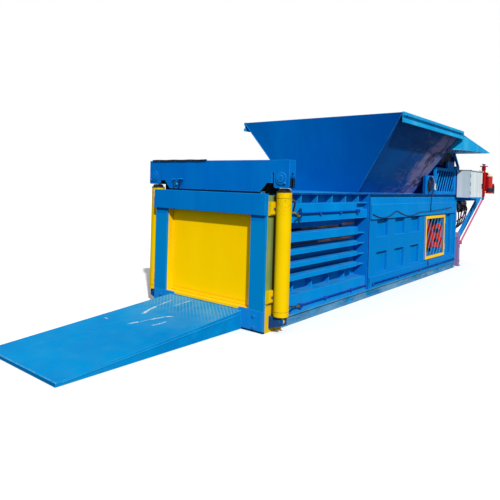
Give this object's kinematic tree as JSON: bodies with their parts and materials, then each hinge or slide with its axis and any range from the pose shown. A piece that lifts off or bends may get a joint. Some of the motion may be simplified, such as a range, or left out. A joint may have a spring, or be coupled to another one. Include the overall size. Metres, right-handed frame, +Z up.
{
  "type": "horizontal recycling baler",
  "caption": "Horizontal baler with a lifting gate, slotted bale chamber, feed hopper over the ram way, a barred inspection window and a hydraulic power pack on a rear platform.",
  "frame": {"origin": "on the ground on the centre plane, in the plane of the gate frame's front face, on the underside of the base's toe plate", "axes": "+X along the machine from the gate to the rear, +Y across it to the side without a window, +Z up"},
  "size_m": [10.584, 2.666, 2.486],
  "materials": {
    "blue": "gloss",
    "yellow": "gloss",
    "red": "gloss",
    "cabinet_grey": "satin",
    "motor_paint": "satin",
    "worn_steel": "worn",
    "zinc_steel": "satin",
    "rod_chrome": "polished",
    "hose_rubber": "matte",
    "black_plastic": "satin",
    "red_plastic": "gloss",
    "green_plastic": "gloss",
    "guard_blue": "gloss",
    "filter_metal": "satin"
  },
  "bodies": {
    "frame": {"base_frame": "blue", "gate_portal": "blue", "sill_blocks": "blue", "frame_bolts": "blue", "guide_column_right": "yellow", "guide_column_left": "yellow", "gate_sill": "yellow", "clamp_blocks": "yellow", "chamber_wall_right": "blue", "chamber_wall_left": "blue", "tie_ribs_right": "blue", "tie_ribs_left": "blue", "chamber_roof": "blue", "body_floor": "worn_steel", "joint_flange": "blue", "body_side_right": "blue", "body_side_left": "blue", "body_roof": "blue", "throat_knife": "zinc_steel", "rear_bulkhead": "blue", "hopper_shell": "blue", "hopper_rim": "blue", "rear_apron": "blue", "main_barrel": "red", "cylinder_flange": "red", "cylinder_cradle": "blue", "gate_barrel_right": "yellow", "gate_barrel_left": "yellow", "foot_brackets": "blue", "foot_pins": "zinc_steel", "pressure_pipes": "blue", "hydraulic_hoses": "hose_rubber", "upper_guards": "guard_blue", "cooler_housing": "blue", "rear_platform": "blue", "oil_tank": "blue", "drive_motor": "motor_paint", "oil_pump": "zinc_steel", "cabinet_box": "cabinet_grey", "standpipe": "red", "oil_filter": "filter_metal", "ramp": "blue", "window_hinges": "zinc_steel"},
    "gate": {"gate_panel": "yellow", "lifting_beam": "blue", "gate_rods": "rod_chrome", "beam_pins": "zinc_steel"},
    "ram": {"ram_box": "worn_steel", "ram_knife": "zinc_steel", "rod_pin": "zinc_steel", "main_rod": "rod_chrome"},
    "guard": {"window_guard": "yellow", "window_bars": "guard_blue"},
    "door": {"cabinet_door": "cabinet_grey"},
    "handle": {"door_handle": "black_plastic"},
    "stop": {"stop_button": "red_plastic"},
    "start": {"start_button": "green_plastic"},
    "isolator": {"isolator_handle": "black_plastic"},
    "valve": {"valve_handle": "red"},
    "fan": {"cooler_fan": "black_plastic"}
  },
  "joints": [
    {"name": "gate_lift", "type": "slide", "parent": "frame", "child": "gate", "axis": [0, 0, 1], "range_m": [0, 1]},
    {"name": "ram_stroke", "type": "slide", "parent": "frame", "child": "ram", "axis": [1, 0, 0], "range_m": [0, 3.5]},
    {"name": "guard_hinge", "type": "hinge", "parent": "frame", "child": "guard", "pos_m": [5.511, -0.816, 0.67], "axis": [0, 0, 1], "range_deg": [0, 110]},
    {"name": "door_hinge", "type": "hinge", "parent": "frame", "child": "door", "pos_m": [6.072, -1.104, 1.63], "axis": [0, 0, -1], "range_deg": [0, 120]},
    {"name": "handle_turn", "type": "hinge", "parent": "door", "child": "handle", "pos_m": [6.845, -1.1, 1.6275], "axis": [0, 1, 0], "range_deg": [0, 90]},
    {"name": "stop_press", "type": "slide", "parent": "frame", "child": "stop", "axis": [-1, 0, 0], "range_m": [0, 0.005], "stiffness_N_per_m": 1200, "springref_m": -0.002},
    {"name": "start_press", "type": "slide", "parent": "frame", "child": "start", "axis": [-1, 0, 0], "range_m": [0, 0.004], "stiffness_N_per_m": 900, "springref_m": -0.002},
    {"name": "isolator_turn", "type": "hinge", "parent": "frame", "child": "isolator", "pos_m": [6.9, -0.965, 1.56], "axis": [1, 0, 0], "range_deg": [0, 90]},
    {"name": "valve_turn", "type": "hinge", "parent": "frame", "child": "valve", "pos_m": [7.05, -1.08, 2], "axis": [0, 0, 1], "range_deg": [0, 90]},
    {"name": "fan_spin", "type": "hinge", "parent": "frame", "child": "fan", "pos_m": [4.64, -0.81, 1.58], "axis": [0, 1, 0], "continuous": true}
  ]
}
